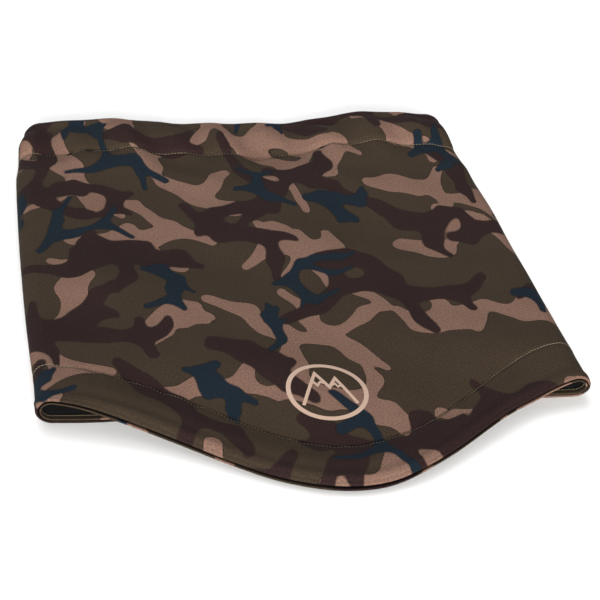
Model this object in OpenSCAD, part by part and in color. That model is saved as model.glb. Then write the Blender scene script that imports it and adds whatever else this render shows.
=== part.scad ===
// Bibbed fleece-lined neck gaiter, laid flat on its back panel.
// X runs across the tube, Y along it from the chest edge up to the neck edge, Z up from the ground.
// The shape functions measure Y from the back panel's chest edge, and centred() then moves each
// piece so that the origin is under the middle of the whole outline.
// Each panel is described by a station u across it: -1 to 1 is the flat part, and beyond that
// u runs round the side fold, to -2 and 2 on the side seams. Layers are depths below the outer face.

/* [Tube] */
// Flat width at the chest edge
bottom_width = 310; // [290:1:330]
// Flat width at the neck edge
top_width = 280; // [260:1:300]
// Length along the side folds
tube_length = 300; // [260:1:340]
// How far the front panel reaches below the back panel at its middle
bib_drop = 75; // [55:1:90]
// How far right of the tube's centre line the bib reaches lowest
bib_centre = 8; // [-10:1:10]
// How late the width narrows towards the neck edge
taper_power = 1.8; // [1:0.1:2.5]

/* [Lie] */
// Height of a side fold at the chest edge
bottom_fold_height = 15; // [13:0.5:18]
// Height of a side fold at the neck edge
top_fold_height = 14; // [12:0.5:18]
// Height of the front panel over the middle of the tube
middle_height = 12.5; // [12:0.5:15]
// Reach of a side fold's curve across the tube
fold_run = 12; // [10:0.5:16]
// Clearance under the bib, where the understitching is
bib_clearance = 0.5; // [0.4:0.1:1]

/* [Cloth] */
// Thickness of the printed outer knit
shell_thickness = 1.2; // [1:0.1:1.5]
// Thickness of the fleece lining
lining_thickness = 1.2; // [0.8:0.1:1.5]
// Thickness of the facing strip inside each edge
facing_thickness = 0.8; // [0.5:0.1:1]

/* [Hems] */
// Depth of the chest hem, from the edge to its topstitching
bottom_hem = 33; // [28:1:40]
// Depth of the neck hem, from the edge to its topstitching
top_hem = 38; // [28:1:42]
// Diameter of the sewing thread
thread_diameter = 0.5; // [0.4:0.05:0.6]
// Depth of the groove that a row of topstitching pulls into the outer knit
groove_depth = 0.7; // [0.6:0.05:0.8]
// Distance of the understitching from the edge
understitch_inset = 3; // [2:0.5:3.5]
// Width of the facing strip
facing_width = 12; // [9:1:14]
// Distance of the lining's own edge from the tube's edge: the facing shows up to there
lining_inset = 5; // [4.5:0.5:8]

/* [Emblem] */
// Outside diameter of the printed ring
emblem_size = 46; // [30:1:60]
// Distance of the ring's centre from the back panel's chest edge, along Y
emblem_y = 1; // [-10:1:20]
// Distance of the ring's centre to the right of the tube's centre line
emblem_x = 4; // [-10:1:10]
// Thickness of the print
print_thickness = 0.25; // [0.2:0.05:0.4]

/* [Hidden] */

hair_gap = 0.02;
groove_floor = 0.4;
groove_shoulder = 1.2;
lining_depth = shell_thickness + hair_gap;
facing_depth = lining_depth;
// The lining is laid over the facing strip, and the strip's shown part stands level with it
lining_step = facing_thickness + hair_gap;
facing_step = lining_thickness + hair_gap;
wall = facing_depth + facing_thickness + hair_gap + lining_thickness;
facing_turn = 3.4;
step_run = 4;
thread_radius = thread_diameter / 2;
topstitch_depth = groove_depth - thread_radius - hair_gap;
understitch_depth = wall + thread_radius * 0.6;
edge_setback = 0.4;

fold_steps = 5;
front_flat_steps = 24;
back_flat_steps = 12;

olive = [0.27, 0.24, 0.18];
plum = [0.21, 0.16, 0.16];
charcoal = [0.09, 0.09, 0.10];
thread_olive = [0.50, 0.45, 0.33];
beige = [0.84, 0.73, 0.65];

// ---------- shape of the tube ----------

function clamp(t) = min(1, max(0, t));
function ramp(low, high, t) = let (k = clamp((t - low) / (high - low))) k * k * (3 - 2 * k);
function mix(a, b, t) = a + (b - a) * t;

function half_width(y) =
    (bottom_width - (bottom_width - top_width) * pow(clamp(y / tube_length), taper_power)) / 2;
function fold_height(y) = mix(bottom_fold_height, top_fold_height, clamp(y / tube_length));
function fold_angle(u) = 90 * max(0, abs(u) - 1);
function across(u, y) =
    sign(u) * ((half_width(y) - fold_run) * min(abs(u), 1) + fold_run * sin(fold_angle(u)));

// The chest edge of the front panel is one full cosine wave across the tube.
function bib_phase(u) =
    let (x = across(u, 0) - bib_centre) x / (half_width(0) - bib_centre * sign(x));
function chest_edge(u) = -bib_drop * (1 + cos(180 * bib_phase(u))) / 2;
function edge_slope(u) = bib_drop * PI / half_width(0) / 2 * sin(180 * bib_phase(u));
function from_chest_edge(u, distance) =
    chest_edge(u) + distance * sqrt(1 + pow(edge_slope(u), 2));

// The front panel bridges the tube, and comes down on the ground beyond the back panel's edge.
function front_height(u, y) =
    let (
        bridge = mix(middle_height, fold_height(y), ramp(0.55, 1, abs(u))),
        grounded = (1 - ramp(-42, 45, y)) * (1 - ramp(0.66, 1, abs(u)))
    )
    mix(bridge, wall + bib_clearance, grounded);

function front_point(u, y, depth) =
    let (
        a = fold_angle(u),
        middle = fold_height(y) / 2,
        rise = front_height(u, y) - middle,
        out = sign(u) * sin(a) / fold_run,
        up = cos(a) / max(abs(rise), 1),
        size = norm([out, up])
    )
    [across(u, y) - out / size * depth, y, middle + rise * cos(a) - up / size * depth];

function back_point(u, y, depth) =
    let (
        a = fold_angle(u),
        middle = fold_height(y) / 2,
        out = sign(u) * sin(a) / fold_run,
        up = cos(a) / middle,
        size = norm([out, up])
    )
    [across(u, y) - out / size * depth, y, middle * (1 - cos(a)) + up / size * depth];

// ---------- stations across and rows along ----------

function stations(flat_steps) = [
    for (i = [0 : fold_steps - 1]) -2 + i / fold_steps,
    for (i = [0 : flat_steps]) -1 + 2 * i / flat_steps,
    for (i = [1 : fold_steps]) 1 + i / fold_steps
];
front_stations = stations(front_flat_steps);
back_stations = stations(back_flat_steps);

// A row across a panel is [what it is measured from, distance, extra depth of the outer face,
// extra depth of the inner face if it has any].
// A "body" row is instead a share of the way from the chest hem to the neck hem.
function from_neck_edge(distance) = tube_length - distance;
function between_hems(low, share) =
    mix(low, from_neck_edge(top_hem + groove_shoulder), share);
function front_row_y(u, row) =
    row[0] == "chest" ? from_chest_edge(u, row[1])
    : row[0] == "neck" ? from_neck_edge(row[1])
    : between_hems(from_chest_edge(u, bottom_hem + groove_shoulder), row[1]);
function back_row_y(row) =
    row[0] == "chest" ? row[1]
    : row[0] == "neck" ? from_neck_edge(row[1])
    : between_hems(bottom_hem + groove_shoulder, row[1]);

chest_edge_rows = [["chest", 0, edge_setback], ["chest", edge_setback * 2, 0]];
strip_insets = [facing_turn, lining_inset, facing_width, facing_width + step_run];
chest_strip_rows = [for (inset = strip_insets) ["chest", inset, 0]];
chest_hem_rows = [["chest", (facing_width + step_run + bottom_hem) / 2, 0]];
chest_groove_rows = [
    ["chest", bottom_hem - groove_shoulder, 0], ["chest", bottom_hem - groove_floor, groove_depth],
    ["chest", bottom_hem + groove_floor, groove_depth], ["chest", bottom_hem + groove_shoulder, 0]
];
neck_groove_rows = [
    ["neck", top_hem + groove_shoulder, 0], ["neck", top_hem + groove_floor, groove_depth],
    ["neck", top_hem - groove_floor, groove_depth], ["neck", top_hem - groove_shoulder, 0]
];
neck_hem_rows = [["neck", (facing_width + step_run + top_hem) / 2, 0]];
neck_strip_rows = [for (i = [3 : -1 : 0]) ["neck", strip_insets[i], 0]];
neck_edge_rows = [["neck", edge_setback * 2, 0], ["neck", 0, edge_setback]];
front_body_rows = [for (share = [0.08, 0.16, 0.24, 0.32, 0.5, 0.68, 0.84]) ["body", share, 0]];
back_body_rows = [for (share = [0.25, 0.5, 0.75]) ["body", share, 0]];

function shell_rows(body_rows) = concat(
    chest_edge_rows, chest_strip_rows, chest_hem_rows, chest_groove_rows,
    body_rows, neck_groove_rows, neck_hem_rows, neck_strip_rows, neck_edge_rows
);
function lining_rows(body_rows) = concat(
    [
        ["chest", lining_inset, lining_step, lining_step],
        ["chest", facing_width, lining_step, lining_step],
        ["chest", facing_width + step_run, 0]
    ],
    chest_hem_rows, [["chest", bottom_hem, 0]],
    body_rows, [["neck", top_hem, 0]], neck_hem_rows,
    [
        ["neck", facing_width + step_run, 0],
        ["neck", facing_width, lining_step, lining_step],
        ["neck", lining_inset, lining_step, lining_step]
    ]
);
function facing_rows(end) = [
    [end, 0, facing_step, facing_step], [end, facing_turn, facing_step, facing_step],
    [end, lining_inset - 0.1, 0], [end, facing_width, 0]
];
chest_facing_rows = facing_rows("chest");
neck_facing_rows = [for (i = [3 : -1 : 0]) facing_rows("neck")[i]];

// ---------- builders ----------

module centred() {
    translate([0, (bib_drop - tube_length) / 2, 0]) children();
}

// A layer of cloth: a closed solid between a grid of outer points and a grid of inner points.
module layer(outer, inner, columns) {
    rows = len(outer) / columns;
    shift = len(outer);
    function at(r, c) = r * columns + c;
    function pair(a, b, c, d) = [[a, b, c], [a, c, d]];
    skin = [
        for (r = [0 : rows - 2], c = [0 : columns - 2])
            each pair(at(r, c), at(r + 1, c), at(r + 1, c + 1), at(r, c + 1))
    ];
    under = [for (f = skin) [f[2] + shift, f[1] + shift, f[0] + shift]];
    ends = [
        for (c = [0 : columns - 2]) each concat(
            pair(at(0, c), at(0, c + 1), at(0, c + 1) + shift, at(0, c) + shift),
            pair(at(rows - 1, c) + shift, at(rows - 1, c + 1) + shift,
                at(rows - 1, c + 1), at(rows - 1, c))
        )
    ];
    sides = [
        for (r = [0 : rows - 2]) each concat(
            pair(at(r, 0) + shift, at(r + 1, 0) + shift, at(r + 1, 0), at(r, 0)),
            pair(at(r, columns - 1), at(r + 1, columns - 1),
                at(r + 1, columns - 1) + shift, at(r, columns - 1) + shift)
        )
    ];
    polyhedron(concat(outer, inner), concat(skin, under, ends, sides));
}

function inner_extra(row) = len(row) > 3 ? row[3] : 0;

module front_layer(rows, depth, thickness, across_stations = front_stations) {
    layer(
        [for (row = rows, u = across_stations)
            front_point(u, front_row_y(u, row), depth + row[2])],
        [for (row = rows, u = across_stations)
            front_point(u, front_row_y(u, row), depth + thickness + inner_extra(row))],
        len(across_stations)
    );
}

module back_layer(rows, depth, thickness) {
    mirror([0, 0, 1]) layer(
        [for (row = rows, u = back_stations)
            let (p = back_point(u, back_row_y(row), depth + row[2])) [p[0], p[1], -p[2]]],
        [for (row = rows, u = back_stations)
            let (p = back_point(u, back_row_y(row), depth + thickness + inner_extra(row)))
                [p[0], p[1], -p[2]]],
        len(back_stations)
    );
}

// A thread along a path, closed into a ring or open at its two ends.
module thread(path, ring) {
    sides = 6;
    count = len(path);
    function before(i) = ring ? path[(i + count - 1) % count] : path[max(i - 1, 0)];
    function after(i) = ring ? path[(i + 1) % count] : path[min(i + 1, count - 1)];
    function frame(i) =
        let (
            t = (after(i) - before(i)) / norm(after(i) - before(i)),
            guide = abs(t[1]) > 0.9 ? [0, 0, 1] : [0, 1, 0],
            n = cross(t, guide) / norm(cross(t, guide))
        )
        [n, cross(t, n)];
    points = [
        for (i = [0 : count - 1], k = [0 : sides - 1])
            let (f = frame(i), a = 360 * k / sides)
                path[i] + thread_radius * (cos(a) * f[0] + sin(a) * f[1])
    ];
    function at(i, k) = (i % count) * sides + k % sides;
    walls = [
        for (i = [0 : ring ? count - 1 : count - 2], k = [0 : sides - 1])
            each [
                [at(i, k), at(i, k + 1), at(i + 1, k + 1)],
                [at(i, k), at(i + 1, k + 1), at(i + 1, k)]
            ]
    ];
    caps = ring ? [] : [
        [for (k = [sides - 1 : -1 : 0]) at(0, k)],
        [for (k = [0 : sides - 1]) at(count - 1, k)]
    ];
    polyhedron(points, concat(walls, caps));
}

// A ring round the tube at a distance from one edge, left to right over the front and back below.
module hem_thread(row, depth) {
    over = [for (u = front_stations) front_point(u, front_row_y(u, row), depth)];
    below = [
        for (i = [len(back_stations) - 2 : -1 : 1])
            back_point(back_stations[i], back_row_y(row), depth)
    ];
    thread(concat(over, below), true);
}

// A side seam is sewn inside the fold, between the front and back panels, on the lining.
module side_seam_thread(side) {
    seam_inset = 1;
    hem_places = [seam_inset, facing_width, facing_width + step_run];
    middle_places = [for (share = [0.2 : 0.2 : 0.8]) tube_length * share];
    places = concat(
        hem_places, middle_places, [for (i = [2 : -1 : 0]) tube_length - hem_places[i]]
    );
    function on_facing(y) = min(y, tube_length - y) < facing_width + step_run / 2;
    path = [
        for (y = places)
            front_point(side, y,
                wall + thread_radius + hair_gap - (on_facing(y) ? 0 : lining_step))
    ];
    thread(path, false);
}

// ---------- sub-parts ----------

module shell_front() {
    color(olive) centred() front_layer(shell_rows(front_body_rows), 0, shell_thickness);
}

module shell_back() {
    color(olive) centred() back_layer(shell_rows(back_body_rows), 0, shell_thickness);
}

module lining_front() {
    color(charcoal) centred() front_layer(lining_rows(front_body_rows), lining_depth, lining_thickness);
}

module lining_back() {
    color(charcoal) centred() back_layer(lining_rows(back_body_rows), lining_depth, lining_thickness);
}

module chest_facing_front() {
    color(plum) centred() front_layer(chest_facing_rows, facing_depth, facing_thickness);
}

module chest_facing_back() {
    color(plum) centred() back_layer(chest_facing_rows, facing_depth, facing_thickness);
}

module neck_facing_front() {
    color(plum) centred() front_layer(neck_facing_rows, facing_depth, facing_thickness);
}

module neck_facing_back() {
    color(plum) centred() back_layer(neck_facing_rows, facing_depth, facing_thickness);
}

module chest_topstitch_thread() {
    color(thread_olive) centred() hem_thread(["chest", bottom_hem], topstitch_depth);
}

module neck_topstitch_thread() {
    color(thread_olive) centred() hem_thread(["neck", top_hem], topstitch_depth);
}

module chest_understitch_thread() {
    color(thread_olive) centred() hem_thread(["chest", understitch_inset], understitch_depth);
}

module neck_understitch_thread() {
    color(thread_olive) centred() hem_thread(["neck", understitch_inset], understitch_depth);
}

module side_seam_thread_left() {
    color(charcoal) centred() side_seam_thread(-2);
}

module side_seam_thread_right() {
    color(charcoal) centred() side_seam_thread(2);
}

// Lines through points given in shares of the ring's radius.
module drawn_line(points, width) {
    for (i = [0 : len(points) - 2]) hull() {
        for (p = [points[i], points[i + 1]]) translate(p * emblem_size / 2)
            circle(d = width, $fn = 16);
    }
}

// A ring round a line drawing of two mountain peaks with snow lines.
module emblem_outline() {
    r = emblem_size / 2;
    ring_line = 2.6;
    peak_line = 1.9;
    snow_line = 1.3;
    difference() {
        circle(r, $fn = 96);
        circle(r - ring_line, $fn = 96);
    }
    drawn_line([[-0.66, -0.46], [-0.2, 0.62], [0.07, 0.1], [0.27, 0.44], [0.66, -0.46]], peak_line);
    drawn_line([[-0.38, 0.2], [-0.29, 0.3], [-0.21, 0.17], [-0.12, 0.3], [-0.03, 0.24]], snow_line);
    drawn_line([[0.14, 0.16], [0.22, 0.24], [0.29, 0.12], [0.38, 0.19]], snow_line);
}

// The print lies on the outer knit, so its film has rows and stations of shell_front.
module emblem_print() {
    margin = 16;
    reach = emblem_size / 2 + margin;
    film_rows = [
        for (row = shell_rows(front_body_rows))
            if (row[2] == 0 && abs(front_row_y(0, row) - emblem_y) < reach + margin) row
    ];
    film_stations = [for (u = front_stations) if (abs(across(u, 0) - emblem_x) < reach) u];
    color(beige) centred() intersection() {
        front_layer(film_rows, -print_thickness - hair_gap, print_thickness, film_stations);
        translate([emblem_x, emblem_y, 0])
            linear_extrude(middle_height * 2) emblem_outline();
    }
}

shell_front();
shell_back();
lining_front();
lining_back();
chest_facing_front();
chest_facing_back();
neck_facing_front();
neck_facing_back();
chest_topstitch_thread();
neck_topstitch_thread();
chest_understitch_thread();
neck_understitch_thread();
side_seam_thread_left();
side_seam_thread_right();
emblem_print();
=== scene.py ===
"""A bibbed, fleece-lined neck gaiter laid flat on its back panel.

The shape is worked out in millimetres: X across the tube, Y along it from the back panel's
chest edge, Z up from the ground. to_frame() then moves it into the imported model's frame.
"""

import bmesh
import bpy
import numpy as np
from mathutils import Matrix, Vector


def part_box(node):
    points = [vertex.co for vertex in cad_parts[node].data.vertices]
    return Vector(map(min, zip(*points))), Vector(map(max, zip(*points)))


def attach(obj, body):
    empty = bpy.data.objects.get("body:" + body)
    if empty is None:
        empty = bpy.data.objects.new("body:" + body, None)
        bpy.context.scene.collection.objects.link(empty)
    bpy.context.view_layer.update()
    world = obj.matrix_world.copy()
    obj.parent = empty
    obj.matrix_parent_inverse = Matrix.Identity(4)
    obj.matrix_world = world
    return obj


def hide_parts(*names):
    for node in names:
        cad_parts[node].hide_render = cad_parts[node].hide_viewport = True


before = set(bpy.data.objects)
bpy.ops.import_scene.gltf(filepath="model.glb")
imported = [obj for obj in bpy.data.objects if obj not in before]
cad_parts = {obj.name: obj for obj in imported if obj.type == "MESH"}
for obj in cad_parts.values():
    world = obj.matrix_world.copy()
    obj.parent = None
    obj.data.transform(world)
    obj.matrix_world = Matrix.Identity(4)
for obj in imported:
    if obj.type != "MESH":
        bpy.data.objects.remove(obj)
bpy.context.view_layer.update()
scene = bpy.context.scene
MM = 0.001

# ---------- camera ----------

CAMERA_ELEVATION = np.radians(33.438)
CAMERA_YAW = np.radians(14.121)
CAMERA_ROLL = np.radians(5.631)
CAMERA_DISTANCE = 1.3625
CAMERA_TARGET = np.array([0.01023, -0.00526, 0.0])
LENS = 138.54


def add_camera():
    """A camera at the photograph's viewing angle."""
    sin_e, cos_e = np.sin(CAMERA_ELEVATION), np.cos(CAMERA_ELEVATION)
    sin_y, cos_y = np.sin(CAMERA_YAW), np.cos(CAMERA_YAW)
    forward = np.array([sin_y * cos_e, cos_y * cos_e, -sin_e])
    level = np.array([cos_y, -sin_y, 0.0])
    upright = np.cross(level, forward)
    right = level * np.cos(CAMERA_ROLL) + upright * np.sin(CAMERA_ROLL)
    up = upright * np.cos(CAMERA_ROLL) - level * np.sin(CAMERA_ROLL)
    data = bpy.data.cameras.new("camera")
    data.lens = LENS
    data.sensor_width = 36.0
    data.clip_start, data.clip_end = 0.05, 30.0
    camera = bpy.data.objects.new("camera", data)
    scene.collection.objects.link(camera)
    turn = Matrix([Vector(row) for row in np.array([right, up, -forward]).T])
    camera.matrix_world = Matrix.LocRotScale(
        Vector(CAMERA_TARGET - forward * CAMERA_DISTANCE), turn.to_quaternion(), None
    )
    scene.camera = camera


add_camera()

# ---------- measurements, in mm ----------

back_low, back_high = (np.array(corner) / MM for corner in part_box("shell_back"))
front_low = np.array(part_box("shell_front")[0]) / MM
ORIGIN_Y = back_low[1]
LENGTH = back_high[1] - back_low[1]
HALF_BOTTOM = back_high[0]
BIB_DROP = back_low[1] - front_low[1]

TAPER = 15.0  # how far each fold comes in between the chest edge and the neck edge
TAPER_POWER = 1.8
BIB_CENTRE = 8.0
CHEST_HEM, NECK_HEM = 33.0, 38.0  # from the edges to the rows of topstitching
SHELL, LINING, FACING = 1.2, 1.2, 0.8  # thicknesses
GAP = 0.02
INNER_DEPTH = SHELL + GAP  # the facing's outer face, and the lining's beyond the facing
WALL = INNER_DEPTH + FACING + GAP + LINING
FACING_CUT = 12.0  # the facing strip's width
LINING_EDGE = 5.0  # from the edges to the lining
FOLD_RUN = 9.5  # the part of each panel's half width that is taken up by its fold
FOLD_HEIGHT = 15.0  # on average, for the flat sizes
RIM_ROLL = 1.6  # thickness of the shell's rim, which is turned in
FACING_ROLL = 0.52  # radius of the facing's rim
RIM_SETBACK = -0.5  # the facing stands out beyond the shell's rim
UNDERSTITCH_AT = 3.0  # from the edges to the inner rows of stitches
STITCH_LIFT = 0.34  # from the groove's floor to the middle of the topstitching's thread
GROUND_RELIEF = 0.1  # the most that the back panel's relief stands out into the ground
CHEST_SEED, NECK_SEED = 31, 32  # of the hems' puckers
HALF_GIRTH = 160.0  # half of a panel's width round its folds, at the chest edge
GIRTH = 4 * HALF_GIRTH

# Where the folds leave their plain taper. Both spread at the chest edge. The left one is drawn
# in before the neck stitching and again at the neck edge, and the right one bows in half way.
CHEST_SPREAD, SPREAD_RUN = 1.5, 15.0
STITCH_PULL, STITCH_PULL_FROM, STITCH_PULL_TO = 1.9, 235, 262
EDGE_PULL, EDGE_PULL_FROM, EDGE_PULL_RUN, EDGE_PULL_POWER = 5.5, 274, 26, 1.2
WAIST, WAIST_AT, WAIST_RUN = 2.3, 130, 85

LEFT_DROP, LEFT_DROP_AT, LEFT_DROP_RUN = 3.0, -118, 34
RIGHT_DROP, RIGHT_DROP_FROM, RIGHT_DROP_TO = 0.8, 60, 150
TIP_SETBACK = 0.8  # the bib's tip ends inside the CAD outline, to leave room for the facing

# Relief of the front panel
SETTLE_FROM, SETTLE_TO = 2, 42  # the chest edge's heights give way to the body's
MIDDLE_IN, MIDDLE_OUT = 100, 148  # the hem is puffed only between the folds
BODY_RIPPLE, BODY_WAVE = 1.1, 95.0
CHEST_PUFF, CHEST_DIP, CHEST_DIP_RUN = 3.7, 1.8, 10
NECK_PUFF, NECK_DIP, NECK_DIP_RUN = 4.3, 1.7, 12
NECK_RISE_FROM = 190
TUCK_FROM, TUCK_TO, TUCK_WAVE = 225, 262, 34.0
TUCK_HEIGHT, TUCK_AT_EDGE, TUCK_EDGE_RUN = 1.35, 0.35, 14

# Height of the outer face at places across the gaiter, along the chest edge and the neck edge.
CHEST_HEIGHTS = [
    (-157, 17.0), (-132, 15.8), (-112, 12.4), (-90, 8.8), (-65, 6.0), (-38, 4.2),
    (70, 4.2), (98, 6.4), (118, 7.4), (135, 12.2), (148, 15.0), (157, 15.0),
]
NECK_HEIGHTS = [
    (-143, 13.0), (-124, 14.6), (-102, 16.6), (-78, 16.4), (-60, 15.0), (-38, 11.7), (0, 10.2),
    (40, 10.0), (57, 14.0), (89, 17.6), (122, 15.3), (143, 13.8),
]
BODY_HEIGHTS = [(-157, 16.0), (-120, 14.4), (-80, 12.8), (80, 12.6), (120, 13.4), (157, 14.6)]


def smooth(low, high, t):
    """Smooth step from 0 to 1."""
    k = np.clip((t - low) / (high - low), 0, 1)
    return k * k * (3 - 2 * k)


def mix(a, b, t):
    """Value on the way from a to b."""
    return a + (b - a) * t


def bump(t, centre, width):
    """Bell curve of unit height."""
    return np.exp(-(((t - centre) / width) ** 2))


def through(points, at, soften=7.0):
    """Height at places on a line through the points, its corners softened."""
    places, heights = zip(*points)
    taps = np.linspace(-soften, soften, 7)
    return sum(np.interp(at + tap, places, heights) for tap in taps) / len(taps)


def ripples(x, y, seed, wavelength, count=7):
    """Smooth noise of unit strength, which repeats after one girth across."""
    rng = np.random.default_rng(seed)
    total = np.zeros(np.broadcast(x, y).shape)
    for _ in range(count):
        angle, phase = rng.uniform(0, 2 * np.pi, 2)
        length = wavelength * rng.uniform(0.75, 1.6)
        turns = round(GIRTH * np.cos(angle) / length)
        total += np.sin(2 * np.pi * (turns * x / GIRTH + np.sin(angle) * y / length) + phase)
    return total * np.sqrt(2 / count)


# ---------- shape of the tube ----------


def sides(y):
    """X of the left and the right fold."""
    plain = (
        HALF_BOTTOM
        - TAPER * np.clip(y / LENGTH, 0, 1) ** TAPER_POWER
        + CHEST_SPREAD * bump(np.maximum(y, 0), 0, SPREAD_RUN)
    )
    at_edge = np.clip((y - EDGE_PULL_FROM) / EDGE_PULL_RUN, 0, 1) ** EDGE_PULL_POWER
    drawn = STITCH_PULL * smooth(STITCH_PULL_FROM, STITCH_PULL_TO, y) + EDGE_PULL * at_edge
    return -plain + drawn, plain - WAIST * bump(y, WAIST_AT, WAIST_RUN)


def half_width(y):
    left, right = sides(y)
    return (right - left) / 2


def centre_shift(y):
    left, right = sides(y)
    return (right + left) / 2


def bib_phase(x):
    """Place along the bib's curve: 0 at its tip, -1 and 1 at the folds."""
    return np.clip((x - BIB_CENTRE) / (HALF_BOTTOM - BIB_CENTRE * np.sign(x - BIB_CENTRE)), -1, 1)


def corner_drop(x):
    """How far the chest edge lies forward near the two ends of its opening."""
    left = LEFT_DROP * bump(x, LEFT_DROP_AT, LEFT_DROP_RUN)
    return -left - RIGHT_DROP * smooth(RIGHT_DROP_FROM, RIGHT_DROP_TO, x)


def chest_edge(x):
    """Y of the front panel's chest edge, with the bib."""
    return corner_drop(x) - (BIB_DROP - TIP_SETBACK) * (1 + np.cos(np.pi * bib_phase(x))) / 2


def edge_slope(x):
    """Steepness of the bib's edge."""
    return BIB_DROP * np.pi / 2 / HALF_BOTTOM * np.sin(np.pi * bib_phase(x))


def from_chest_edge(x, distance):
    """Y at a distance from the edge, square to it but for the right side's deeper rows."""
    tilt = edge_slope(x) ** 2 * (1 - smooth(15, 50, x) * smooth(5, 30, distance))
    return chest_edge(x) + distance * np.sqrt(1 + tilt)


def puff(share):
    """A pillow between two lines, steeper on the side where the share is 0."""
    lean = 1 - share
    return share * (1 - share) * (2 + 3.4 * lean)


# Soft creases: the two ends of each, its half width and its height
CREASES = [
    (-152, 232, -96, 256, 7.0, 1.4), (-60, 252, -14, 214, 10.0, 1.0), (106, 258, 150, 222, 6.0, 1.2),
    (30, 240, 92, 205, 12.0, 1.1), (-150, 96, -70, 128, 14.0, 1.2), (150, 60, 84, 96, 14.0, 1.2),
]


def crease(x, y):
    """Height of the soft creases, each of which fades in and out along its line."""
    total = 0 * x * y
    for x0, y0, x1, y1, width, height in CREASES:
        dx, dy = x1 - x0, y1 - y0
        length = np.hypot(dx, dy)
        along = ((x - x0) * dx + (y - y0) * dy) / length**2
        away = ((x - x0) * dy - (y - y0) * dx) / length
        shown = smooth(-0.2, 0.3, along) * (1 - smooth(0.7, 1.2, along))
        total = total + height * shown * bump(away, 0, width)
    return total


def chest_end(x, y):
    """Height of the body and of the chest hem, which its stitching pulls down."""
    settled = smooth(chest_edge(x) + SETTLE_FROM, SETTLE_TO, y)
    body = through(BODY_HEIGHTS, x) + BODY_RIPPLE * ripples(x, y, 3, BODY_WAVE)
    height = mix(through(CHEST_HEIGHTS, x), body, settled)
    from_stitch = (y - from_chest_edge(x, CHEST_HEM)) / np.sqrt(1 + edge_slope(x) ** 2)
    share = np.clip(1 + from_stitch / CHEST_HEM, -0.05, 1)
    middle = 1 - smooth(MIDDLE_IN, MIDDLE_OUT, np.abs(x))
    height = height + CHEST_PUFF * middle * puff(share)
    return height - CHEST_DIP * middle * np.exp(-np.sqrt(from_stitch**2 + 2) / CHEST_DIP_RUN)


def neck_end(x, from_stitch):
    """Height of the neck hem, and of the cloth that its stitching pulls down."""
    share = np.clip(from_stitch / NECK_HEM, 0, 1.05)
    height = through(NECK_HEIGHTS, x) + NECK_PUFF * puff(share)
    return height - NECK_DIP * np.exp(-np.sqrt(from_stitch**2 + 4) / NECK_DIP_RUN)


def top_height(x, y):
    """Height of the front panel's outer face between the folds."""
    stitch = LENGTH - NECK_HEM
    drawn = np.clip((y - NECK_RISE_FROM) / (stitch - NECK_RISE_FROM), 0, 1) ** 2
    tucks = ripples(x + 0.45 * y, 0.5 * y, 5, TUCK_WAVE) * smooth(TUCK_FROM, TUCK_TO, y)
    at_edge = smooth(LENGTH - TUCK_EDGE_RUN, LENGTH, y)
    tucks = mix(TUCK_HEIGHT, TUCK_AT_EDGE, at_edge) * tucks
    return mix(chest_end(x, y), neck_end(x, y - stitch), drawn) + tucks + crease(x, y)


class Panel:
    """Outer face of the front or back panel over a grid of stations u by rows y.

    u from -1 to 1 is the flat part, and from there to -2 and 2 it runs round the folds. Across
    is the distance over the cloth from the middle, and girth is the same place on a tube that
    doesn't taper, on which the camouflage is printed.
    """

    def __init__(self, side, u, y):
        flat, run = half_width(y) - FOLD_RUN, FOLD_RUN
        angle = np.pi / 2 * np.clip(np.abs(u) - 1, 0, 1)
        sign = np.sign(u)
        x = centre_shift(y) + flat * np.clip(u, -1, 1) + sign * run * np.sin(angle)
        fold = top_height(centre_shift(y) + sign * flat, y)
        if side == "front":
            top = np.where(np.abs(u) > 1, fold, top_height(x, y))
            z = fold / 2 + (top - fold / 2) * np.cos(angle)
        else:
            z = fold / 2 * (1 - np.cos(angle))
        self.points = np.stack([x, y + 0 * x, z], -1)
        across = np.gradient(self.points, axis=1)
        along = np.gradient(self.points, axis=0)
        normal = np.cross(across, along)
        normal /= np.linalg.norm(normal, axis=-1, keepdims=True)
        self.normals = normal if side == "front" else -normal
        round_fold = angle * (run + fold / 2) / 2
        reach = np.abs(flat * np.clip(u, -1, 1)) + round_fold
        whole = flat + np.pi / 4 * (run + fold / 2)
        self.across = sign * reach
        girth = self.across / whole * HALF_GIRTH
        self.girth = girth if side == "front" else 2 * HALF_GIRTH - girth

    def level_rim(self, distance):
        """Stop the rim's inner layers from being set back under it where the rim slopes."""
        self.normals[..., 1] *= smooth(1.5, 3.5, distance)
        self.normals /= np.linalg.norm(self.normals, axis=-1, keepdims=True)

    def at_depth(self, depth):
        return self.points - self.normals * np.asarray(depth)[..., None]


def stations(flat_count, fold_count):
    """Values of u: evenly over the flat part, and evenly round each fold."""
    flat = np.linspace(-1, 1, flat_count)
    fold = 1 + np.arange(1, fold_count + 1) / fold_count
    return np.concatenate([-fold[::-1], flat, fold])


FAR = 1000.0  # the distance from an edge that is given to rows not measured from it


def rows_of(side, u, chest, body, neck):
    """Y of every grid point, and each point's distances from the chest and the neck edge.

    The rows are measured from the chest edge, then as shares of the body between, and then
    from the neck edge.
    """
    x = (HALF_BOTTOM - FOLD_RUN) * np.clip(u, -1, 1)
    x = x + np.sign(u) * FOLD_RUN * np.sin(np.pi / 2 * np.clip(np.abs(u) - 1, 0, 1))
    chest, body, neck = (np.asarray(part, float)[:, None] for part in (chest, body, neck))
    if side == "front":
        low = from_chest_edge(x[None], chest)
    else:
        low = chest + corner_drop(x)[None]
    high = LENGTH - neck + 0 * x[None]
    between = mix(low[-1:], high[:1], body)
    y = np.concatenate([low, between, high])
    level = 0 * x[None]
    far = [level + np.full((len(part), 1), FAR) for part in (chest, body, neck)]
    from_chest = np.concatenate([chest + level, far[1], far[2]])
    from_neck = np.concatenate([far[0], far[1], neck + level])
    return y, from_chest, from_neck


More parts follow.
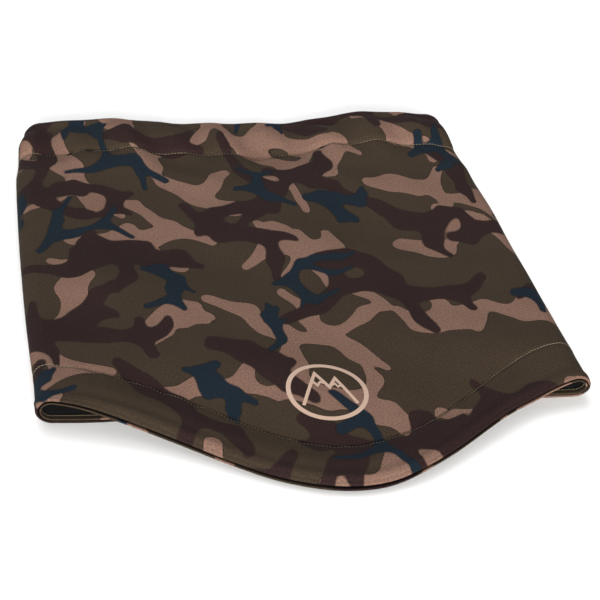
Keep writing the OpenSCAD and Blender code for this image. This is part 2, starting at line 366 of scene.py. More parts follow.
def edge_rows(side, u, end, distances):
    """Y of rows near one edge alone, in the order of Y, from their distances to the edge."""
    if end == "chest":
        return rows_of(side, u, distances, [], [1.0])[0][:-1]
    return rows_of(side, u, [1.0], [], distances[::-1])[0][1:]


# ---------- meshes ----------


def to_frame(points):
    """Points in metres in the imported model's frame."""
    return (np.asarray(points) + [0, ORIGIN_Y, 0]) * MM


def new_object(name, points, faces, attributes, sharp=None):
    """A smooth-shaded object with values stored on its vertices for the materials."""
    mesh = bpy.data.meshes.new(name)
    mesh.from_pydata(to_frame(points).tolist(), [], faces)
    mesh.validate()
    for key, values in attributes.items():
        values = np.asarray(values, np.float32)
        if values.ndim == 1:
            mesh.attributes.new(key, "FLOAT", "POINT").data.foreach_set("value", values)
        else:
            stored = mesh.attributes.new(key, "FLOAT_VECTOR", "POINT")
            stored.data.foreach_set("vector", values.ravel())
    mesh.shade_smooth()
    if sharp:
        mesh.set_sharp_from_angle(angle=np.radians(sharp))
    piece = bpy.data.objects.new(name, mesh)
    scene.collection.objects.link(piece)
    return piece


def closed_faces(rows, columns, flip):
    """Faces of the solid between an outer grid and the inner grid that follows it."""
    at = np.arange(rows * columns).reshape(rows, columns)
    under = at + rows * columns
    skin = np.stack([at[:-1, :-1], at[:-1, 1:], at[1:, 1:], at[1:, :-1]], -1).reshape(-1, 4)
    rim = np.concatenate([at[0], at[1:, -1], at[-1, -2::-1], at[-2:0:-1, 0]])
    low = under.ravel()[rim]
    wall = np.stack([np.roll(rim, -1), rim, low, np.roll(low, -1)], -1)
    faces = np.concatenate([skin, skin[:, ::-1] + rows * columns, wall])
    return (faces[:, ::-1] if flip else faces).tolist()


# ---------- camouflage: seeded figures of branching strokes ----------


def figure(rng, centre, length, radius, tilt, branches, turn):
    """One figure: round cones as rows of x0, y0, r0, x1, y1, r1."""
    cones, joints = [], []
    heading = tilt + rng.normal(0, 0.35)
    steps = rng.integers(3, 6)
    place = centre - 0.5 * length * np.array([np.cos(heading), np.sin(heading)])
    thick = radius * rng.uniform(0.5, 0.8)
    for i in range(steps):
        heading = mix(heading + rng.normal(0, turn), tilt, 0.25)
        step = length / steps * rng.uniform(0.8, 1.25)
        ahead = place + step * np.array([np.cos(heading), np.sin(heading)])
        last = i == steps - 1
        swell = radius * (rng.uniform(0.4, 0.7) if last else rng.uniform(0.75, 1.3))
        cones.append((*place, thick, *ahead, swell))
        joints.append((ahead, swell, heading))
        place, thick = ahead, swell
    for _ in range(rng.integers(branches[0], branches[1] + 1)):
        start, thick, heading = joints[rng.integers(0, len(joints) - 1)]
        heading += rng.choice([-1, 1]) * rng.uniform(0.7, 1.5)
        step = length * rng.uniform(0.18, 0.34)
        ahead = start + step * np.array([np.cos(heading), np.sin(heading)])
        swell = radius * rng.uniform(0.5, 0.85)
        cones.append((*start, thick * 0.8, *ahead, swell))
        if rng.random() < 0.55:
            heading += rng.normal(0, 0.8)
            tip = ahead + 0.7 * step * np.array([np.cos(heading), np.sin(heading)])
            cones.append((*ahead, swell, *tip, swell * 0.65))
    return cones


def scatter(seed, columns, rows, length, radius, tilt, branches, turn, keep):
    """Figures on a shaken grid that repeats after one girth across."""
    rng = np.random.default_rng(seed)
    low, high = -150.0, LENGTH + 60.0
    pitch = np.array([GIRTH / columns, (high - low) / rows])
    cones = []
    for j in range(rows):
        for i in range(columns):
            shake = rng.uniform(-0.35, 0.35, 2)
            centre = (np.array([i + 0.5 * (j % 2), j + 0.5]) + shake) * pitch + [0, low]
            made = figure(
                rng, centre, length * rng.uniform(0.7, 1.3), radius * rng.uniform(0.8, 1.2),
                tilt, branches, turn,
            )
            if rng.random() < keep:
                cones += made
    return np.array(cones)


def distance_to(cones, x, y, blend):
    """Distance to the figures' outline in mm, negative inside, their joins filleted."""
    total = np.full(x.shape, 1e-9)
    for shift in (-GIRTH, 0, GIRTH):
        for x0, y0, r0, x1, y1, r1 in cones + np.array([shift, 0, 0, shift, 0, 0]):
            reach = max(r0, r1) + 6 * blend
            near = (x > min(x0, x1) - reach) & (x < max(x0, x1) + reach)
            near &= (y > min(y0, y1) - reach) & (y < max(y0, y1) + reach)
            if not near.any():
                continue
            px, py, dx, dy = x[near] - x0, y[near] - y0, x1 - x0, y1 - y0
            t = np.clip((px * dx + py * dy) / (dx * dx + dy * dy), 0, 1)
            away = np.hypot(px - t * dx, py - t * dy) - mix(r0, r1, t)
            total[near] += np.exp(-away / blend)
    return -blend * np.log(total)


# Each colour's figures: seed, columns, rows, length, radius, tilt, branches, turn and the share
# that is kept, and then how far their joins are filleted.
FIGURES = {
    "tan": (scatter(41, 10, 9, 72, 5.7, -0.4, (1, 3), 0.65, 0.97), 2.0),
    "plum": (scatter(42, 10, 9, 66, 5.2, -0.3, (1, 3), 0.6, 1.0), 2.0),
    "navy": (scatter(43, 9, 7, 56, 3.1, 0.1, (2, 4), 0.95, 0.85), 1.5),
}
PATTERN_STRETCH = 1.25  # the figures are drawn out along the tube
WAVERS = [(1.8, 50.0), (0.4, 17.0)]  # reach and wavelength of what shakes their outlines


def waver(x, y, seed):
    return sum(reach * ripples(x, y, seed + i, wave) for i, (reach, wave) in enumerate(WAVERS))


def camouflage(girth, along, shift=(0.0, 0.0)):
    """Distances to the three printed colours' outlines, at places on the cloth."""
    x = (girth + shift[0] + GIRTH / 2) % GIRTH - GIRTH / 2
    y = (along + shift[1]) / PATTERN_STRETCH
    x, y = x + waver(x, y, 21), y + waver(x, y, 23)
    return {name: distance_to(cones, x, y, blend) for name, (cones, blend) in FIGURES.items()}


# ---------- cloth layers ----------


def roll_rows(radius, count=6, start=8.0):
    """Distances from the edge of rows round a rolled rim."""
    angles = np.radians(np.linspace(start, 90, count))
    return radius * (1 - np.cos(angles))


def roll_depth(distance, radius):
    """Depth of a rolled rim's face below its flat part, at a distance from the edge."""
    inward = np.clip(1 - distance / radius, 0, 1)
    return radius * (1 - np.sqrt(1 - inward**2))


# Rows of the grid: close together over the seam behind the rim and over the stitching
SEAM_ROWS = np.arange(1.2, 6.1, 0.4)
GROOVE_ROWS = np.array([-2.6, -1.7, -1.1, -0.75, -0.45, -0.15, 0.15, 0.45, 0.75, 1.1, 1.7, 2.6])


def hem_rows(hem):
    """Distances from the edge of a hem's rows."""
    between = np.arange(7.2, hem - 3.4, 1.6)
    return np.concatenate([roll_rows(RIM_ROLL / 2), SEAM_ROWS, between, hem + GROOVE_ROWS])


# The relief's parts: how far each stands out, where, and its half width. The first are
# measured from the edge, the second from the stitching towards the body.
RIM_PARTS = [(1.05, 4.8, 3.0), (-0.45, 10.5, 3.4), (-0.2, 1.9, 0.4)]
STITCH_PARTS = [(0.45, -3.2, 2.0), (0.15, 3.4, 2.4), (-0.75, 0, 0.9)]
SEAM_DEPTH, SEAM_AT, SEAM_WIDTH = 0.16, 4.6, 0.6
PUCKER_HEIGHT, PUCKER_WAVE, PUCKER_RUN = 0.28, 11.0, 6.0


def hem_relief(distance, hem, along, seed):
    """How far a hem's features stand out of the shell, at a distance from the edge."""
    relief = sum(height * bump(distance, place, width) for height, place, width in RIM_PARTS)
    for height, place, width in STITCH_PARTS:
        relief = relief + height * bump(distance, hem + place, width)
    shown = np.clip(0.5 + 0.6 * ripples(along, 0 * along, seed + 1, 60.0), 0, 1)
    relief = relief - SEAM_DEPTH * shown * bump(distance, SEAM_AT, SEAM_WIDTH)
    puckers = ripples(along, 0.3 * distance, seed, PUCKER_WAVE)
    return relief + PUCKER_HEIGHT * puckers * np.exp(-np.abs(distance - hem) / PUCKER_RUN)


def on_folds(across):
    """The share of the hems' relief that is left on the folds, where the cloth is drawn tight."""
    return 1 - 0.55 * smooth(118, 142, np.abs(across))


def shell_relief(side, panel, from_chest, from_neck):
    """The hems' relief. On the back panel nothing stands out into the ground."""
    along = panel.across
    chest = hem_relief(from_chest, CHEST_HEM, along, CHEST_SEED)
    neck = hem_relief(from_neck, NECK_HEM, along, NECK_SEED)
    relief = (chest + neck) * on_folds(along)
    return np.minimum(relief, GROUND_RELIEF) if side == "back" else relief


def cloth_attributes(panel, fields):
    """Places on the cloth and the printed figures' distances, for both faces of a sheet."""
    flat = np.stack([panel.across, panel.points[..., 1], 0 * panel.across], -1).reshape(-1, 3)
    attributes = {"cloth": np.concatenate([flat, flat])}
    for name, values in fields.items():
        attributes[name] = np.concatenate([values.ravel()] * 2)
    return attributes


def layer(name, side, panel, outer_depth, inner_depth, fields, gap_shade=(0, 0)):
    """A sheet between two depths. The two gap shades say how far its outer and its inner face lie
    inside a narrow gap, from 0 to 1, where the material paints them darker as painted shade."""
    rows, columns = panel.points.shape[:2]
    points = np.concatenate(
        [panel.at_depth(outer_depth).reshape(-1, 3), panel.at_depth(inner_depth).reshape(-1, 3)]
    )
    faces = closed_faces(rows, columns, side == "back")
    attributes = cloth_attributes(panel, fields)
    attributes["gap_shade"] = np.concatenate([(h + 0 * panel.across).ravel() for h in gap_shade])
    return new_object(name, points, faces, attributes, sharp=60)


# Stations over the flat part and round each fold, and rows over the body
SHELL_STATIONS, LINING_STATIONS = (206, 12), (110, 12)
SHELL_ROWS, LINING_ROWS = {"front": 118, "back": 112}, 70
SIDE_SEAM_DEPTH, SIDE_SEAM_WIDTH = 0.3, 0.05


def make_shell(side):
    """The printed knit of one panel, its rim turned in at both edges."""
    u = stations(*SHELL_STATIONS)
    chest, neck = hem_rows(CHEST_HEM), hem_rows(NECK_HEM)[::-1]
    body = np.linspace(0, 1, SHELL_ROWS[side])[1:-1]
    y, from_chest, from_neck = rows_of(side, u, chest, body, neck)
    panel = Panel(side, u[None], y)
    edge = np.minimum(from_chest, from_neck)
    seam = SIDE_SEAM_DEPTH * bump(np.abs(u[None]), 2, SIDE_SEAM_WIDTH)
    outer = roll_depth(edge, RIM_ROLL / 2) - shell_relief(side, panel, from_chest, from_neck) + seam
    inner = mix(RIM_ROLL - roll_depth(edge, RIM_ROLL / 2), SHELL, smooth(3, 4.5, edge)) + 0 * outer
    fields = camouflage(panel.girth, panel.points[..., 1])
    # Painted shade on the shell's inner face beyond its rim's edge, and a lighter touch of it on the
    # rim's edge
    gap_shade = (0.35 * (1 - smooth(0, 0.25, edge)), smooth(0.02, 0.3, edge))
    return layer(f"cloth_shell_{side}", side, panel, outer, inner, fields, gap_shade)


def lining_depth(edge):
    """Depth of the lining's outer face: it is laid over the facing strip."""
    return mix(WALL - LINING, INNER_DEPTH, smooth(FACING_CUT, 16, edge))


def make_lining(side):
    """The fleece of one panel, laid over the facing strips at both edges."""
    u = stations(*LINING_STATIONS)
    rim = LINING_EDGE + roll_rows(LINING / 2)
    rows = np.concatenate([rim, [7, 8.5, 10, FACING_CUT, 14, 16, 20, 26, 33]])
    body = np.linspace(0, 1, LINING_ROWS)[1:-1]
    y, from_chest, from_neck = rows_of(side, u, rows, body, rows[::-1])
    panel = Panel(side, u[None], y)
    edge = np.minimum(from_chest, from_neck)
    roll = roll_depth(edge - LINING_EDGE, LINING / 2)
    laid = lining_depth(edge)
    return layer(f"cloth_lining_{side}", side, panel, laid + roll, laid + LINING - roll, {})


FACING_RIM = 1.05  # the facing's thickness where it shows beyond the lining
SEWN_DEPTH, SEWN_WIDTH = 0.25, 0.6  # the groove of the inner row of stitches
UNDER_LINING = (3.4, 4.9)  # distances from the edge between which it slips under the lining
FACING_SHIFTS = {"front": (95.0, 60.0), "back": (-70.0, 35.0)}  # its print doesn't meet the shell's


def make_facing(side, end):
    """The strip that closes an edge: it shows at the rim, and runs in under the lining."""
    u = stations(*SHELL_STATIONS)
    rim = roll_rows(FACING_ROLL) + RIM_SETBACK
    distances = np.concatenate([rim, np.arange(0.4, FACING_CUT, 0.5)])
    panel = Panel(side, u[None], edge_rows(side, u, end, distances))
    distance = (distances if end == "chest" else distances[::-1])[:, None] + 0 * panel.across
    panel.level_rim(distance)
    roll = roll_depth(distance - RIM_SETBACK, FACING_ROLL)
    sewn = WALL - roll - SEWN_DEPTH * bump(distance, UNDERSTITCH_AT, SEWN_WIDTH)
    inner = mix(sewn, INNER_DEPTH + FACING, smooth(*UNDER_LINING, distance))
    outer = mix(WALL - FACING_RIM + roll, INNER_DEPTH, smooth(3, 5, distance))
    shift = FACING_SHIFTS[side]
    fields = camouflage(panel.girth, panel.points[..., 1], shift)
    # Painted shade on the facing's outer face, in the gap under the shell's turned rim
    gap_shade = (smooth(-0.3, 0.15, distance), 0)
    return layer(f"cloth_{end}_facing_{side}", side, panel, outer, inner, fields, gap_shade)


# ---------- threads ----------


def stitch_path(side, distance, end):
    """Points, normals and places across along a line of stitching on one panel."""
    u = stations(800, 60)
    spread = np.array([-0.4, 0, 0.4])
    panel = Panel(side, u[None], edge_rows(side, u, end, distance + spread))
    return panel.points[1], panel.normals[1], panel.across[1]


def ring_path(distance, end, depth=None):
    """The line right round the tube, on top and then back along the underside.

    It lies at a depth under the shell's face, or else in the groove of the hem's stitching.
    """
    points, normals = [], []
    for side, order in (("front", 1), ("back", -1)):
        at, out, across = stitch_path(side, distance, end)
        if depth is None:
            seed = CHEST_SEED if end == "chest" else NECK_SEED
            relief = hem_relief(distance, distance, across, seed) * on_folds(across)
            points.append((at + out * (relief[:, None] + STITCH_LIFT))[::order])
            normals.append(out[::order])
        else:
            points.append((at - out * depth)[::order])
            normals.append(-out[::order])
    return np.concatenate(points), np.concatenate(normals)


def even_places(points, normals, pitch, closed):
    """Places a pitch apart along a line, with its direction and its normal at each."""
    if closed:
        points = np.concatenate([points, points[:1]])
        normals = np.concatenate([normals, normals[:1]])
    steps = np.linalg.norm(np.diff(points, axis=0), axis=1)
    run = np.concatenate([[0], np.cumsum(steps)])
    count = int(round(run[-1] / pitch))
    at = (np.arange(count) + 0.5) * run[-1] / count

    def sample(values, where):
        return np.stack([np.interp(where, run, values[:, k]) for k in range(3)], -1)

    ahead = sample(points, np.minimum(at + 0.3, run[-1])) - sample(points, np.maximum(at - 0.3, 0))
    return sample(points, at), ahead, sample(normals, at)


def unit(vectors):
    return vectors / np.linalg.norm(vectors, axis=-1, keepdims=True)


# Rings along a stitch, from end to end, and its girth at each
STITCH_SHARES = np.array([-1.0, -0.88, -0.6, -0.2, 0.2, 0.6, 0.88, 1.0])
STITCH_GIRTHS = np.array([0.35, 0.72, 0.96, 1.0, 1.0, 0.96, 0.72, 0.35])
STITCH_SIDES = 8
TOPSTITCH = {"pitch": 2.05, "length": 1.6, "thickness": 0.48, "sag": 0.3, "seed": 41}
UNDERSTITCH = {"pitch": 1.45, "length": 0.95, "thickness": 0.5, "sag": 0.3, "seed": 42}
SIDE_STITCH = {"pitch": 2.4, "length": 1.9, "thickness": 0.5, "sag": 0.25, "seed": 43}


def make_stitches(name, path, pitch, length, thickness, sag, seed, closed=True):
    """A row of stitches, each a short thread whose two ends sag into the cloth."""
    centre, ahead, out = even_places(*path, pitch, closed)
    rng = np.random.default_rng(seed)
    count, sides = len(centre), STITCH_SIDES
    ahead, out = unit(ahead), unit(out)
    side = unit(np.cross(out, ahead))
    turn = np.radians(rng.normal(0, 2.5, count))[:, None]
    ahead = ahead * np.cos(turn) + side * np.sin(turn)
    side = unit(np.cross(out, ahead))
    centre = centre + side * rng.normal(0, 0.03, (count, 1))
    size = (1 + rng.normal(0, 0.05, count))[:, None, None, None]
    along = STITCH_SHARES[None, :, None, None]
    girth = STITCH_GIRTHS[None, :, None, None]
    angle = 2 * np.pi * np.arange(sides) / sides
    cos, sin = np.cos(angle)[None, None, :, None], np.sin(angle)[None, None, :, None]
    radius = thickness / 2
    spine = (
        centre[:, None, None] + ahead[:, None, None] * along * length / 2 * size
        - out[:, None, None] * sag * along**2
    )
    ring = (side[:, None, None] * cos + out[:, None, None] * sin * 0.85) * radius * girth
    points = (spine + ring).reshape(-1, 3)
    rings = len(STITCH_SHARES)
    at = np.arange(rings * sides).reshape(rings, sides)
    walls = np.stack(
        [at[:-1], np.roll(at[:-1], -1, 1), np.roll(at[1:], -1, 1), at[1:]], -1
    ).reshape(-1, 4)
    faces = []
    for start in range(0, count * rings * sides, rings * sides):
        faces += (walls + start).tolist()
        faces.append((at[0, ::-1] + start).tolist())
        faces.append((at[-1] + start).tolist())
    reach = np.broadcast_to(along * length / 2, (count, rings, sides, 1)).reshape(-1)
    around = np.broadcast_to(angle[None, None, :], (count, rings, sides)).reshape(-1)
    shade = np.repeat(rng.uniform(0, 1, count), rings * sides)
    thread = np.stack([reach, around, shade], -1)
    return new_object(name, points, faces, {"thread": thread})


SIDE_STITCH_LIFT = 0.2  # from the lining to the middle of the thread


def side_seam_path(sign):
    """The line of a side seam along the inside of its fold, and its normals."""
    u = np.sort([sign * 2.0, sign * 1.98])
    y = np.linspace(1, LENGTH - 1, 400)[:, None]
    panel = Panel("front", u[None], y + 0 * u[None])
    column = 0 if sign < 0 else 1
    inward = -panel.normals[:, column]
    depth = lining_depth(np.minimum(y, LENGTH - y)) + LINING + SIDE_STITCH_LIFT
    return panel.points[:, column] + inward * depth, inward


# ---------- emblem ----------

EMBLEM_RADIUS = 23.0
EMBLEM_CENTRE = np.array([4.0, 1.0])
EMBLEM_LINE = 2.6  # width of the ring's line
PEAK_LINE, SNOW_LINE = 1.9, 1.3
PRINT_FACES = (0.13, -0.1)  # the film's two faces, over the shell's
PRINT_GRID = 1.6  # its longest edge
# The two peaks' outline and the snow lines below their tops, in shares of the ring's radius
PEAKS = [(-0.66, -0.46), (-0.2, 0.62), (0.07, 0.1), (0.27, 0.44), (0.66, -0.46)]
SNOW_TALL = [(-0.38, 0.2), (-0.29, 0.3), (-0.21, 0.17), (-0.12, 0.3), (-0.03, 0.24)]
SNOW_LOW = [(0.14, 0.16), (0.22, 0.24), (0.29, 0.12), (0.38, 0.19)]


def stroke(line, width):
    """Outline of a mitred stroke along a line, in mm from the ring's centre."""
    line = np.array(line) * EMBLEM_RADIUS
    ahead = unit(np.diff(line, axis=0))
    side = np.stack([-ahead[:, 1], ahead[:, 0]], -1)
    first, last = side[:1], side[-1:]
    joint = unit(side[1:] + side[:-1])
    joint = joint / np.sum(joint * side[1:], axis=1, keepdims=True)
    out = np.concatenate([first, joint, last]) * width / 2
    return np.concatenate([line - out, (line + out)[::-1]])


def ring_mesh():
    """Flat points and faces of the ring."""
    sides, rings = 180, 4
    angle = 2 * np.pi * np.arange(sides) / sides
    radius = np.linspace(EMBLEM_RADIUS - EMBLEM_LINE, EMBLEM_RADIUS, rings)
    flat = np.stack([radius[:, None] * np.cos(angle), radius[:, None] * np.sin(angle)], -1)
    at = np.arange(rings * sides).reshape(rings, sides)
    faces = np.stack(
        [at[:-1], at[1:], np.roll(at[1:], -1, 1), np.roll(at[:-1], -1, 1)], -1
    ).reshape(-1, 4)
    return flat.reshape(-1, 2), faces.tolist()


def polygon_mesh(outline):
    """Flat points and faces of an outline, fine enough to follow the cloth."""
    shape = bmesh.new()
    corners = [shape.verts.new((*p, 0)) for p in outline]
    face = shape.faces.new(corners)
    face.normal_update()
    if face.normal.z < 0:
        face.normal_flip()
    bmesh.ops.triangulate(shape, faces=shape.faces[:])
    for _ in range(5):
        long = [e for e in shape.edges if e.calc_length() > PRINT_GRID]
        if not long:
            break
        bmesh.ops.subdivide_edges(shape, edges=long, cuts=1)
        bmesh.ops.triangulate(shape, faces=shape.faces[:])
    shape.verts.index_update()
    flat = np.array([v.co.xy for v in shape.verts])
    faces = [[v.index for v in f.verts] for f in shape.faces]
    shape.free()
    return flat, faces


def make_emblem():
    """A thin film that follows the shell: a ring round two mountain peaks."""
    points, faces = [], []
    strokes = [stroke(PEAKS, PEAK_LINE), stroke(SNOW_TALL, SNOW_LINE), stroke(SNOW_LOW, SNOW_LINE)]
    for flat, flat_faces in [ring_mesh()] + [polygon_mesh(outline) for outline in strokes]:
        x, y = (flat + EMBLEM_CENTRE).T
        z = top_height(x, y)
        start, count = sum(len(p) for p in points), len(flat)
        points += [np.stack([x, y, z + lift], -1) for lift in PRINT_FACES]
        edges = {(a, b) for f in flat_faces for a, b in zip(f, f[1:] + f[:1])}
        rim = [(a, b) for a, b in edges if (b, a) not in edges]
        faces += [[start + i for i in f] for f in flat_faces]
        faces += [[start + count + i for i in reversed(f)] for f in flat_faces]
        faces += [[start + b, start + a, start + count + a, start + count + b] for a, b in rim]
    points = np.concatenate(points)
    cloth = points * [1, 1, 0]
    return new_object("print_emblem", points, faces, {"cloth": cloth}, sharp=40)


# ---------- materials ----------


def linear(red, green, blue):
    """Linear colour of an sRGB colour given from 0 to 255."""
    c = np.array([red, green, blue]) / 255
    return (*np.where(c <= 0.04045, c / 12.92, ((c + 0.055) / 1.055) ** 2.4), 1.0)


class Shader:
    """A material built from nodes, around one Principled BSDF."""

    def __init__(self, name, sockets):
        self.material = bpy.data.materials.new(name)
        self.material.use_nodes = True
        self.tree = self.material.node_tree
        self.bsdf = self.tree.nodes["Principled BSDF"]
        self.fill(self.bsdf, sockets)

    def fill(self, node, sockets):
        """Link or set the node's sockets."""
        for key, value in sockets.items():
            socket = node.inputs[key]
            if isinstance(value, bpy.types.NodeSocket):
                self.tree.links.new(value, socket)
            else:
                socket.default_value = value

    def add(self, kind, sockets=(), out=0, **settings):
        """One output of a new node."""
        node = self.tree.nodes.new(kind)
        for key, value in settings.items():
            setattr(node, key, value)
        self.fill(node, dict(sockets))
        return node.outputs[out]

    def math(self, operation, a, b=0.0):
        return self.add("ShaderNodeMath", {0: a, 1: b}, operation=operation)

    def attribute(self, name, out="Fac"):
        return self.add("ShaderNodeAttribute", out=out, attribute_name=name)

    def noise(self, vector, size, detail, roughness):
        """Noise with features of a size in the units of the vector."""
        sockets = {"Vector": vector, "Scale": 1 / size, "Detail": detail, "Roughness": roughness}
        return self.add("ShaderNodeTexNoise", sockets, out="Fac")

    def ramp(self, value, low, high, start=0.0, end=1.0):
        """The value, brought from the range low to high into the range start to end."""
        sockets = {0: value, 1: low, 2: high, 3: start, 4: end}
        return self.add("ShaderNodeMapRange", sockets)

    def product(self, *values):
        """The values multiplied together."""
        total = values[0]
        for value in values[1:]:
            total = self.math("MULTIPLY", total, value)
        return total

    def blend(self, share, a, b, mode="MIX"):
        """Colour a, blended towards colour b by a share."""
        node = self.tree.nodes.new("ShaderNodeMix")
        node.data_type, node.blend_type = "RGBA", mode
        for index, value in ((0, share), (6, a), (7, b)):
            if isinstance(value, bpy.types.NodeSocket):
                self.tree.links.new(value, node.inputs[index])
            else:
                node.inputs[index].default_value = value
        return node.outputs[2]

    def bump(self, height, distance, strength):
        sockets = {"Height": height, "Distance": distance, "Strength": strength}
        return self.add("ShaderNodeBump", sockets)


KNIT_PITCH = 0.8
KNIT_ROW, KNIT_SLANT = 0.75, 1.3  # a stitch's height in pitches, and the slope of its sides


def knit_height(shader, cloth, pitch):
    """Height of a fine jersey knit: V-shaped stitches in columns, a pitch wide."""
    parts = shader.tree.nodes.new("ShaderNodeSeparateXYZ")
    shader.tree.links.new(cloth, parts.inputs[0])
    column = shader.math("PINGPONG", shader.math("DIVIDE", parts.outputs[0], pitch), 0.5)
    row = shader.math("DIVIDE", parts.outputs[1], pitch * KNIT_ROW)
    vee = shader.math("SUBTRACT", row, shader.math("MULTIPLY", column, KNIT_SLANT))
    wave = shader.math("SINE", shader.math("MULTIPLY", vee, 2 * np.pi))
    wale = shader.math("SINE", shader.math("MULTIPLY", column, 2 * np.pi))
    loop = shader.math("ADD", shader.math("MULTIPLY", wave, 0.5), 0.5)
    return shader.math("MULTIPLY", loop, wale)


OLIVE = linear(52.5, 43.6, 34.8)
TAN = linear(109, 84.5, 73.3)
PLUM = linear(39, 27.6, 27)
NAVY = linear(22, 31, 39)
OVERLAP = linear(22, 19, 17)  # the dark line where one ink runs over another
OVERLAP_AT, OVERLAP_WIDTH, OVERLAP_SHARE = 0.15, 0.45, 0.65
INK_EDGE = 0.12  # half of the soft width of a figure's outline, in mm


def camo_material():
    """Printed knit: four inks, fine speckle, broad mottling and a jersey's relief, with painted
    shade in the knit's low parts and in the narrow gaps at the rims.
    """
    sockets = {"Specular IOR Level": 0.03, "Sheen Weight": 0.004, "Sheen Roughness": 0.3}
    shader = Shader("camo_knit", sockets)
    cloth = shader.attribute("cloth", out="Vector")
    grain = shader.noise(cloth, 1.0, 2.0, 0.6)
    jitter = shader.ramp(grain, 0.0, 1.0, -0.25, 0.25)
    colour = OLIVE
    for name, ink in (("tan", TAN), ("plum", PLUM), ("navy", NAVY)):
        edge = shader.math("ADD", shader.attribute(name), jitter)
        away = shader.math("ABSOLUTE", shader.math("SUBTRACT", edge, OVERLAP_AT))
        halo = shader.ramp(away, 0, OVERLAP_WIDTH, OVERLAP_SHARE, 0)
        colour = shader.blend(halo, colour, OVERLAP)
        colour = shader.blend(shader.ramp(edge, INK_EDGE, -INK_EDGE), colour, ink)
    knit = knit_height(shader, cloth, KNIT_PITCH)
    speckle = shader.ramp(shader.noise(cloth, 1.1, 2.0, 0.8), 0.3, 0.7, 0.66, 1.34)
    mottle = shader.ramp(shader.noise(cloth, 26.0, 3.0, 0.6), 0.3, 0.7, 0.94, 1.05)
    # Painted shade of the jersey's relief: colour darker in the knit's low parts and lighter on its
    # loops
    knit_shade = shader.ramp(knit, 0, 1, 0.93, 1.05)
    # Painted shade: colour is darkened down to 0.12 where a face lies in a narrow gap at the rims
    gap_shade = shader.ramp(shader.attribute("gap_shade"), 0, 1, 1, 0.12)
    shade = shader.product(speckle, mottle, knit_shade, gap_shade)
    grey = shader.add("ShaderNodeCombineColor", {0: shade, 1: shade, 2: shade})
    colour = shader.blend(1.0, colour, grey, "MULTIPLY")
    height = shader.math("ADD", knit, shader.math("MULTIPLY", grain, 0.8))
    weave = shader.bump(height, 0.00006, 0.9)
    rough = shader.ramp(grain, 0, 1, 0.72, 0.9)
    shader.fill(shader.bsdf, {"Base Color": colour, "Normal": weave, "Roughness": rough})
    return shader.material


def fleece_material():
    """Dark fleece, its pile gathered in clumps."""
    sockets = {"Specular IOR Level": 0.05, "Sheen Weight": 0.03, "Sheen Roughness": 0.6}
    shader = Shader("fleece", {"Roughness": 0.95, **sockets})
    cloth = shader.attribute("cloth", out="Vector")
    pile = shader.math("MULTIPLY", shader.noise(cloth, 1.6, 4.0, 0.65), 0.7)
    clump = shader.math("MULTIPLY", shader.noise(cloth, 7.0, 3.0, 0.5), 0.3)
    tone = shader.math("ADD", pile, clump)
    colour = shader.blend(shader.ramp(tone, 0.3, 0.7), linear(5, 5, 6), linear(20, 19, 19))
    shader.fill(shader.bsdf, {"Base Color": colour, "Normal": shader.bump(tone, 0.0007, 0.8)})
    return shader.material


def thread_material(name, dark, light):
    """Twisted thread, painted darker in the grooves of its twist. Its attribute holds the place
    along, the angle round and a random shade.
    """
    sockets = {"Roughness": 0.6, "Specular IOR Level": 0.4, "Sheen Weight": 0.15}
    shader = Shader(name, sockets)
    parts = shader.tree.nodes.new("ShaderNodeSeparateXYZ")
    shader.tree.links.new(shader.attribute("thread", out="Vector"), parts.inputs[0])
    along, around, shade = parts.outputs
    ply = shader.math("ADD", shader.math("MULTIPLY", along, 13.0), around)
    twist = shader.math("SINE", ply)
    # Painted shade of the plies: darker in the twist's grooves, lighter on its crowns
    colour = shader.blend(shader.ramp(twist, -1, 1), dark, light)
    colour = shader.blend(shader.ramp(shade, 0, 1, 0, 0.25), colour, dark)
    shader.fill(shader.bsdf, {"Base Color": colour, "Normal": shader.bump(twist, 0.00005, 0.8)})
    return shader.material


def print_material():
    """Pale flexible print, through which the knit shows."""
    shader = Shader("print", {"Roughness": 0.6, "Specular IOR Level": 0.35})
    cloth = shader.attribute("cloth", out="Vector")
    grain = shader.noise(cloth, 0.7, 3.0, 0.6)
    share = shader.ramp(grain, 0.3, 0.75)
    colour = shader.blend(share, linear(154, 128, 111), linear(173, 147, 130))
    height = shader.math("ADD", knit_height(shader, cloth, KNIT_PITCH), grain)
    shader.fill(shader.bsdf, {"Base Color": colour, "Normal": shader.bump(height, 0.00004, 0.7)})
    return shader.material


def floor_material():
    sockets = {"Base Color": (0.93, 0.93, 0.93, 1.0), "Roughness": 0.7, "Specular IOR Level": 0.2}
    return Shader("floor", sockets).material


# ---------- the pieces ----------


def dress(piece, material, node):
    """Give a piece its material, hang it under the root body, and hide the CAD node it stands for.
    """
    piece.data.materials.append(material)
    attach(piece, "root")
    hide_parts(node)
    return piece


def square_metres(side):
    """Flat area of a panel cut from the chest edge to the neck edge."""
    y = np.linspace(0, LENGTH, 200)
    width = 2 * (half_width(y) - FOLD_RUN + np.pi / 4 * (FOLD_RUN + FOLD_HEIGHT / 2))
    area = np.mean(width) * LENGTH
    if side == "front":
        area += BIB_DROP * HALF_BOTTOM
    return float(area * MM * MM)


def build_cloth():
    camo, fleece = camo_material(), fleece_material()
    for side in ("front", "back"):
        area = square_metres(side)
        shell = dress(make_shell(side), camo, f"shell_{side}")
        lining = dress(make_lining(side), fleece, f"lining_{side}")
        for end in ("chest", "neck"):
            facing = make_facing(side, end)
            dress(facing, camo, f"{end}_facing_{side}")


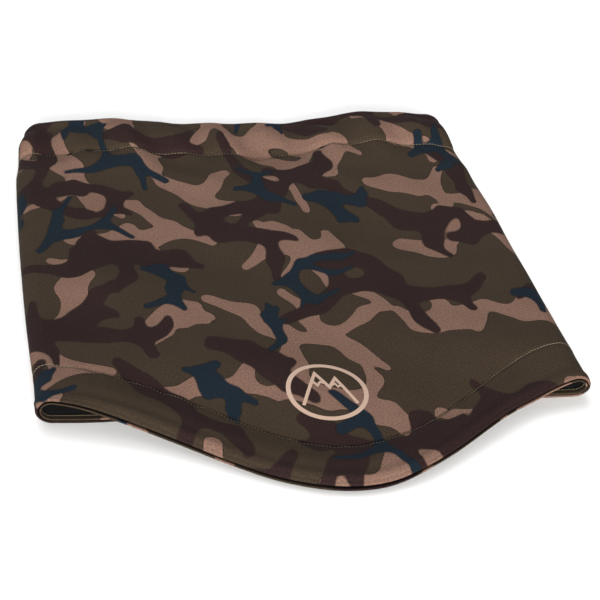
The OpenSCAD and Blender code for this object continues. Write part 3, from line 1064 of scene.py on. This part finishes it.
def build_threads():
    thread = thread_material("thread", linear(86, 76, 58), linear(132, 118, 92))
    seam = thread_material("seam_thread", linear(24, 24, 26), linear(58, 57, 60))
    for end, hem in (("chest", CHEST_HEM), ("neck", NECK_HEM)):
        top = make_stitches(f"thread_{end}_topstitch", ring_path(hem, end), **TOPSTITCH)
        dress(top, thread, f"{end}_topstitch_thread")
        inside = ring_path(UNDERSTITCH_AT, end, WALL + GAP)
        under = make_stitches(f"thread_{end}_understitch", inside, **UNDERSTITCH)
        dress(under, thread, f"{end}_understitch_thread")
    for side, sign in (("left", -1), ("right", 1)):
        path = side_seam_path(sign)
        stitches = make_stitches(f"thread_side_{side}", path, **SIDE_STITCH, closed=False)
        dress(stitches, seam, f"side_seam_thread_{side}")


# ---------- floor and light ----------

FLOOR_REACH, FLOOR_HEIGHT = 6.0, -0.0006


def add_floor():
    mesh = bpy.data.meshes.new("floor")
    corners = [(-FLOOR_REACH, -FLOOR_REACH), (FLOOR_REACH, -FLOOR_REACH)]
    corners += [(FLOOR_REACH, FLOOR_REACH), (-FLOOR_REACH, FLOOR_REACH)]
    mesh.from_pydata([(x, y, FLOOR_HEIGHT) for x, y in corners], [], [(0, 1, 2, 3)])
    floor = bpy.data.objects.new("floor", mesh)
    scene.collection.objects.link(floor)
    mesh.materials.append(floor_material())


def add_light(name, kind, power, towards):
    """A light that shines from the direction of a vector."""
    data = bpy.data.lights.new(name, kind)
    data.energy = power
    light = bpy.data.objects.new(name, data)
    scene.collection.objects.link(light)
    light.rotation_euler = towards.to_track_quat("Z", "Y").to_euler()
    return light


def add_sun(name, elevation, azimuth, spread, power, tint=(1.0, 1.0, 1.0)):
    """A broad, distant light. Azimuth 0 shines along +Y, and 90 along -X."""
    around, up = np.radians([azimuth, elevation])
    towards = Vector((np.sin(around) * np.cos(up), -np.cos(around) * np.cos(up), np.sin(up)))
    light = add_light(name, "SUN", power, towards)
    light.data.angle = np.radians(spread)
    light.data.color = tint


def add_softbox(name, place, size, power):
    """A rectangular light that faces the middle of the floor."""
    light = add_light(name, "AREA", power, Vector(place))
    light.data.shape = "RECTANGLE"
    light.data.size, light.data.size_y = size
    light.location = place


def add_world(strength):
    world = bpy.data.worlds.new("world")
    world.use_nodes = True
    background = world.node_tree.nodes["Background"]
    background.inputs["Color"].default_value = (1.0, 1.0, 1.0, 1.0)
    background.inputs["Strength"].default_value = strength
    scene.world = world


def light_scene():
    add_world(strength=0.31)
    warm = (1.0, 0.985, 0.96)
    add_sun("front_light", elevation=14.5, azimuth=-8, spread=26, power=6.9, tint=warm)
    add_sun("back_light", elevation=32, azimuth=180, spread=44, power=1.0)
    add_sun("back_left_light", elevation=38, azimuth=-128, spread=44, power=0.97)
    add_softbox("back_softbox", place=(0.3, 1.5, 1.9), size=(2.4, 1.4), power=22)
    scene.view_settings.view_transform = "Standard"


build_cloth()
build_threads()
dress(make_emblem(), print_material(), "emblem_print")
add_floor()
light_scene()
